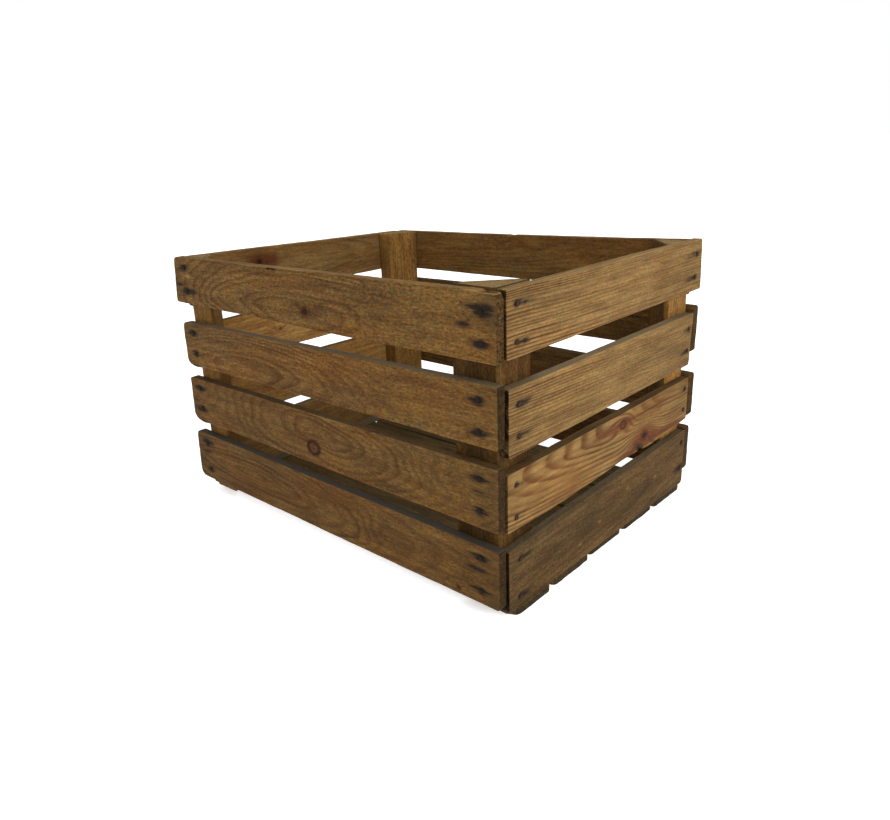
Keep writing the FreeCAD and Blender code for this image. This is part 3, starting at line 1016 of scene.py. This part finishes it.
def aged_pine(name, early, late, patina, orange, light):
    """Old pine, grained by the rings attribute, with stains, knots, grime, painted shade and worn edges from
    the others.
    """
    s = Shader(name)
    grain = s.attribute("grain").outputs["Vector"]
    rings = s.attribute("rings").outputs["Fac"]
    knot = s.attribute("knot").outputs["Fac"]
    stain, grime, wear = s.parts("marks")
    tone, warmth, lines = s.parts("tones")
    fuzz, red, end_grain = s.parts("felt")
    dust, soot, chips = s.parts("dust")

    streaks = s.noise(grain, (9, 300, 300), 4.0, 0.65)
    bands = s.noise(grain, (16, 100, 100), 3.0, 0.6, 0.4)
    fibres = s.noise(grain, (60, 1200, 1200), 3.0, 0.7)
    mottle = s.noise(grain, (240, 420, 420), 4.0, 0.8)
    flecks = s.noise(grain, (170, 640, 640), 2.0, 0.6)
    tints = s.noise(grain, (150, 420, 420), 2.0, 0.7)
    patches = s.noise(grain, (14, 38, 38), 4.0, 0.6, 0.6)
    broad = s.noise(grain, (5, 14, 14), 2.0, 0.5)

    # Growth rings: pale early wood that darkens slowly into a thin dark line of late wood.
    wobble = s.math("MULTIPLY_ADD", streaks, 0.13, s.times(mottle, 0.12))
    ring = s.plus(rings, wobble)
    phase = s.math("FRACT", ring)
    late_stops = [(0.0, 0.35), (1.0, 0.35), (0.12, 0.0), (0.40, 0.05), (0.62, 0.6), (0.80, 1.0), (0.93, 1.0)]
    late_wood = s.curve(phase, late_stops)
    ring_noise = s.add("ShaderNodeTexWhiteNoise", {"W": s.math("FLOOR", ring)}, noise_dimensions="1D")
    ring_strength = s.math("MULTIPLY_ADD", ring_noise.outputs["Value"], 0.7, 0.3)
    fade = s.steps(patches, 0.3, 0.6, 0.6, 1.0)
    shown = s.times(lines, fade)
    grain_share = s.times(s.times(late_wood, ring_strength), shown, clamp=True)
    colour = s.mix(grain_share, early, late)

    # Grey patina in patches, warm wood where it is scraped, fine fibres and a felt of torn ones.
    colour = s.cover(colour, patina, patches, 0.38, 0.68, 0.6)
    warm_level = s.plus(broad, s.times(warmth, 0.35))
    colour = s.cover(colour, orange, warm_level, 0.5, 1.0, 0.6)
    colour = s.cover(colour, srgb(84, 45, 23), red, 0.1, 0.9, 0.85)
    tint = s.mix(s.steps(tints, 0.35, 0.65), (1.10, 0.97, 0.80, 1), (0.92, 1.02, 1.12, 1))
    colour = s.mix(1.0, colour, tint, "MULTIPLY")
    band = s.mix(s.steps(bands, 0.3, 0.7), (0.83, 0.78, 0.76, 1), (1.15, 1.18, 1.14, 1))
    colour = s.mix(1.0, colour, band, "MULTIPLY")
    colour = s.scaled(colour, s.steps(streaks, 0.3, 0.7, 0.86, 1.14))
    colour = s.scaled(colour, s.steps(fibres, 0.28, 0.72, 0.80, 1.20))
    fuzz_shade = s.math("MULTIPLY_ADD", s.math("SUBTRACT", mottle, 0.5), s.times(fuzz, 2.8), 1.0)
    colour = s.scaled(colour, fuzz_shade)
    fleck_shade = s.math("SUBTRACT", s.steps(flecks, 0.55, 0.72), s.steps(flecks, 0.45, 0.28))
    colour = s.scaled(colour, s.math("MULTIPLY_ADD", fleck_shade, s.times(fuzz, 0.4), 1.0))
    colour = s.scaled(colour, s.plus(tone, 1.0))
    # End grain is darker on its own, and the end grain level also carries the painted shade in the gaps
    # where boards meet.
    end_grain_and_crevice_shade = s.math("SUBTRACT", 1.0, s.times(end_grain, 0.35), clamp=True)
    end_grain_and_crevice_shade = s.math("MAXIMUM", end_grain_and_crevice_shade, 0.07)

    # Knots: a nearly black middle in a ring of reddish brown.
    knot_wobble = s.plus(knot, s.times(s.math("SUBTRACT", mottle, 0.5), 1.2))
    colour = s.cover(colour, srgb(66, 36, 17), knot_wobble, 1.5, 0.8, 0.75)
    colour = s.cover(colour, srgb(24, 16, 12), knot_wobble, 0.8, 0.35, 0.85)

    # Worn arrises and chips show pale wood, and iron stains, dust and grime lie over everything. The grime
    # colour also paints shade on the undersides and in the cracks.
    pale = s.plus(s.times(wear, s.steps(streaks, 0.3, 0.6, 0.2, 0.8)), chips, clamp=True)
    colour = s.mix(pale, colour, light)
    speck = s.times(s.math("SUBTRACT", mottle, 0.5), 0.5)
    grime_share = s.times(s.steps(s.plus(grime, speck), 0.1, 1.0), 0.85)
    colour = s.mix(grime_share, colour, srgb(50, 40, 26))
    colour = s.cover(colour, srgb(96, 87, 70), s.plus(dust, speck), 0.1, 1.0, 0.85)
    colour = s.cover(colour, srgb(58, 54, 47), s.plus(soot, speck), 0.1, 1.0, 0.9)
    stain_edge = s.times(stain, s.steps(streaks, 0.3, 0.7, 0.35, 1.65))
    stain_edge = s.times(stain_edge, s.steps(mottle, 0.3, 0.7, 0.5, 1.5))
    colour = s.cover(colour, srgb(24, 20, 17), stain_edge, 0.03, 1.25, 0.94)
    colour = s.scaled(colour, end_grain_and_crevice_shade)
    s.put(s.principled.inputs["Base Color"], colour)

    rough = s.math("MULTIPLY_ADD", fibres, 0.2, 0.68)
    s.put(s.principled.inputs["Roughness"], s.plus(rough, s.times(grime_share, 0.08)))
    s.principled.inputs["Specular IOR Level"].default_value = 0.06

    height = s.times(grain_share, 0.5)
    height = s.plus(height, s.times(streaks, 0.5))
    height = s.plus(height, s.times(fibres, 0.6))
    height = s.plus(height, s.times(mottle, fuzz))
    s.bump(height, 0.8, 0.8 * MM)
    return s.material


def rusty_iron(name, dark, rust, dust):
    s = Shader(name)
    place = s.add("ShaderNodeTexCoord").outputs["Object"]
    coarse = s.noise(place, (420, 420, 420), 4.0, 0.6)
    fine = s.noise(place, (1900, 1900, 1900), 3.0, 0.6)
    colour = s.mix(s.steps(coarse, 0.35, 0.65), dark, rust)
    colour = s.mix(s.steps(fine, 0.55, 0.75), colour, dust)
    s.put(s.principled.inputs["Base Color"], colour)
    s.put(s.principled.inputs["Roughness"], s.math("MULTIPLY_ADD", fine, 0.3, 0.6))
    s.principled.inputs["Specular IOR Level"].default_value = 0.08
    height = s.plus(coarse, s.times(fine, 0.5))
    s.bump(height, 0.6, 0.4 * MM)
    return s.material


def pale_floor(name):
    s = Shader(name)
    place = s.add("ShaderNodeTexCoord").outputs["Object"]
    cloud = s.noise(place, (3, 3, 3), 2.0, 0.5)
    s.put(s.principled.inputs["Base Color"], s.mix(cloud, (0.94, 0.94, 0.94, 1), (0.96, 0.96, 0.955, 1)))
    s.principled.inputs["Roughness"].default_value = 0.9
    s.principled.inputs["Specular IOR Level"].default_value = 0.1
    s.principled.inputs["Emission Color"].default_value = (1, 1, 1, 1)
    s.principled.inputs["Emission Strength"].default_value = 0.45
    return s.material


# ---- the pieces

LONG_PINE = aged_pine(
    "aged_pine_long", early=srgb(97, 71, 36), late=srgb(58, 36, 17), patina=srgb(78, 60, 36),
    orange=srgb(97, 61, 25), light=srgb(142, 114, 68))
END_PINE = aged_pine(
    "aged_pine_end", early=srgb(119, 93, 56), late=srgb(76, 46, 22), patina=srgb(96, 76, 46),
    orange=srgb(112, 77, 37), light=srgb(144, 118, 74))
POST_PINE = aged_pine(
    "aged_pine_post", early=srgb(112, 80, 39), late=srgb(62, 41, 18), patina=srgb(86, 64, 33),
    orange=srgb(112, 76, 33), light=srgb(140, 120, 78))
SLAT_PINE = aged_pine(
    "aged_pine_slat", early=srgb(92, 76, 48), late=srgb(58, 44, 26), patina=srgb(80, 69, 48),
    orange=srgb(94, 73, 43), light=srgb(120, 102, 70))
DARK_IRON = rusty_iron("dark_iron", srgb(19, 16, 14), srgb(30, 24, 21), srgb(44, 36, 31))
BROWN_IRON = rusty_iron("brown_iron", srgb(30, 21, 19), srgb(54, 36, 31), srgb(76, 56, 48))


def finish_piece(piece, node, material):
    piece.data.materials.append(material)
    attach(piece, "root")
    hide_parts(node)


# Node name stem, how many, axis along, axis across, axis through, side, nail node, material and slot.
BOARD_GROUPS = [
    ("front_board", 4, X, Z, Y, -1, "front_nails", LONG_PINE, "long_boards"),
    ("back_board", 4, X, Z, Y, 1, "back_nails", LONG_PINE, "long_boards"),
    ("right_end_board", 4, Y, Z, X, 1, "right_end_nails", END_PINE, "end_boards"),
    ("left_end_board", 4, Y, Z, X, -1, "left_end_nails", END_PINE, "end_boards"),
    ("bottom_slat", 5, X, Y, Z, -1, "bottom_nails", SLAT_PINE, "bottom_slats"),
]
IRONS = {"right_end_nails": BROWN_IRON}   # the other nails are of dark iron

seed = 100
for stem, count, along, across, through, outward, nail_node, material, slot in BOARD_GROUPS:
    spots = outer_spots(nail_node, through, outward)
    for number in range(1, count + 1):
        board = Board(f"{stem}_{number}", along, across, through, outward)
        seed += 100
        nails = [board.to_local(spot) for spot in spots]
        nails = [spot for spot in nails if 0 < spot[0] < board.length and 0 < spot[1] < board.width]
        piece = build_board(board, TIMBERS[board.name], nails, seed)
        finish_piece(piece, board.name, material)
    nails_piece = build_nails(nail_node, spots, through, outward, seed)
    finish_piece(nails_piece, nail_node, IRONS.get(nail_node, DARK_IRON))

for corner in ("front_right", "front_left", "back_right", "back_left"):
    seed += 100
    node = f"corner_post_{corner}"
    finish_piece(build_post(node, seed, POST_TONES_AND_PAINTED_LIGHT[corner]), node, POST_PINE)


# ---- floor, light and camera

def make_floor():
    mesh = bpy.data.meshes.new("floor")
    reach = 30.0
    corners = [(-reach, -reach, 0), (reach, -reach, 0), (reach, reach, 0), (-reach, reach, 0)]
    mesh.from_pydata(corners, [], [(0, 1, 2, 3)])
    mesh.materials.append(pale_floor("pale_floor"))
    floor = add_object("floor", mesh)


def softbox(name, place, target, size, power):
    lamp = bpy.data.lights.new(name, "AREA")
    lamp.shape = "SQUARE"
    lamp.size = size
    lamp.energy = power
    light = add_object(name, lamp)
    light.location = place
    light.rotation_mode = "QUATERNION"
    light.rotation_quaternion = (Vector(target) - Vector(place)).to_track_quat("-Z", "Y")


def studio_world(brightness):
    world = bpy.data.worlds.new("studio")
    world.use_nodes = True
    background = world.node_tree.nodes["Background"]
    background.inputs["Color"].default_value = (1, 1, 1, 1)
    background.inputs["Strength"].default_value = brightness
    bpy.context.scene.world = world


CAMERA_PLACE = Vector((0.62989, -0.69115, 0.44334))
CAMERA_AZIMUTH = math.radians(41.89)
CAMERA_PITCH = math.radians(19.59)
CAMERA_ROLL = math.radians(-2.11)
CAMERA_LENS = 30.94


def make_camera():
    """A camera that looks down at the near corner, with a slight roll."""
    back = Vector((
        math.sin(CAMERA_AZIMUTH) * math.cos(CAMERA_PITCH),
        -math.cos(CAMERA_AZIMUTH) * math.cos(CAMERA_PITCH),
        math.sin(CAMERA_PITCH),
    ))
    level_right = (-back).cross(Vector((0, 0, 1))).normalized()
    level_up = level_right.cross(-back)
    right = level_right * math.cos(CAMERA_ROLL) + level_up * math.sin(CAMERA_ROLL)
    up = level_up * math.cos(CAMERA_ROLL) - level_right * math.sin(CAMERA_ROLL)
    data = bpy.data.cameras.new("camera")
    data.lens = CAMERA_LENS
    data.sensor_width = 36
    camera = add_object("camera", data)
    camera.matrix_world = Matrix.Translation(CAMERA_PLACE) @ Matrix((right, up, back)).transposed().to_4x4()
    bpy.context.scene.camera = camera


make_floor()
studio_world(1.0)
softbox("key", place=(2.6, -0.6, 1.6), target=(0.1, 0.0, 0.15), size=1.6, power=55)
softbox("fill", place=(-1.2, -2.4, 1.6), target=(0.0, 0.0, 0.15), size=1.8, power=10)
make_camera()
bpy.context.scene.view_settings.view_transform = "Standard"
